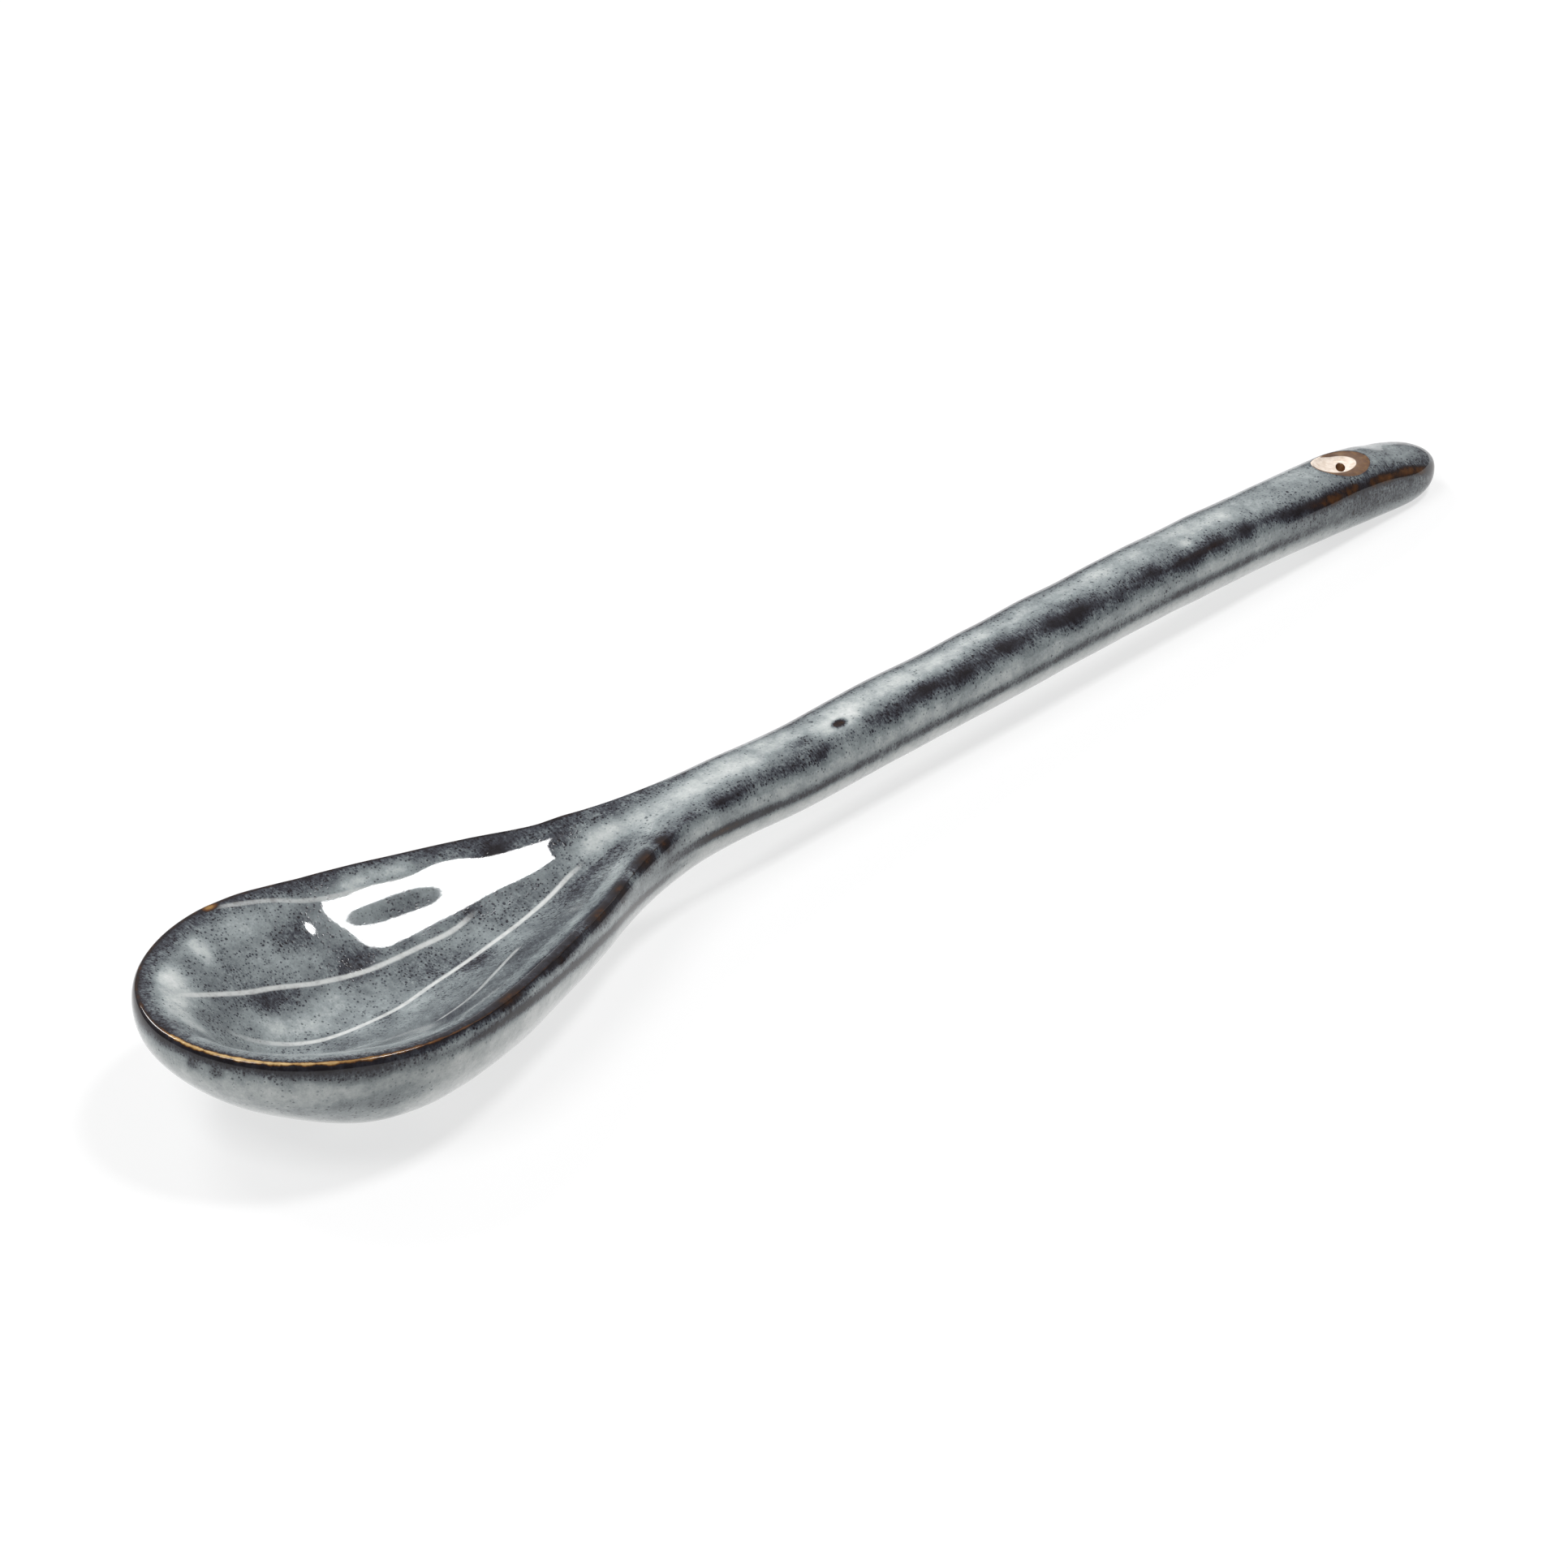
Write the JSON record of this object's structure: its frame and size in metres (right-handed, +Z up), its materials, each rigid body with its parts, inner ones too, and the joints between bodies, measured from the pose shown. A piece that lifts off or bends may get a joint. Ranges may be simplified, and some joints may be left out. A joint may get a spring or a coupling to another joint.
{
  "type": "teaspoon",
  "caption": "Hand-formed glazed stoneware teaspoon with an egg-shaped bowl, a rounded square handle and a hanging hole near the handle's end.",
  "frame": {"origin": "under the middle of the spoon's box, on the surface that it lies on", "axes": "+X along the spoon from the bowl's tip to the handle's end, +Y across the bowl, +Z up out of the hollow"},
  "size_m": [0.1458, 0.026, 0.0102],
  "materials": {
    "inner_glaze": "gloss grey-blue glaze with dark speckles, paler where thick",
    "outer_glaze": "gloss grey-blue glaze, breaking to dark brown on the rim",
    "handle_glaze": "gloss grey-blue glaze, pale in the finger dents, dark brown on the ridges and the end",
    "clay": "bare cream stoneware, matt",
    "slip": "pale slip under the glaze"
  },
  "bodies": {
    "root": {"bowl_clay": "clay", "handle_clay": "clay", "neck_luting_slip": "slip", "bowl_inner_glaze": "inner_glaze", "bowl_outer_glaze": "outer_glaze", "handle_glaze": "handle_glaze", "slip_line_far": "slip", "slip_line_middle": "slip", "slip_line_near": "slip", "slip_line_short": "slip"}
  },
  "joints": []
}
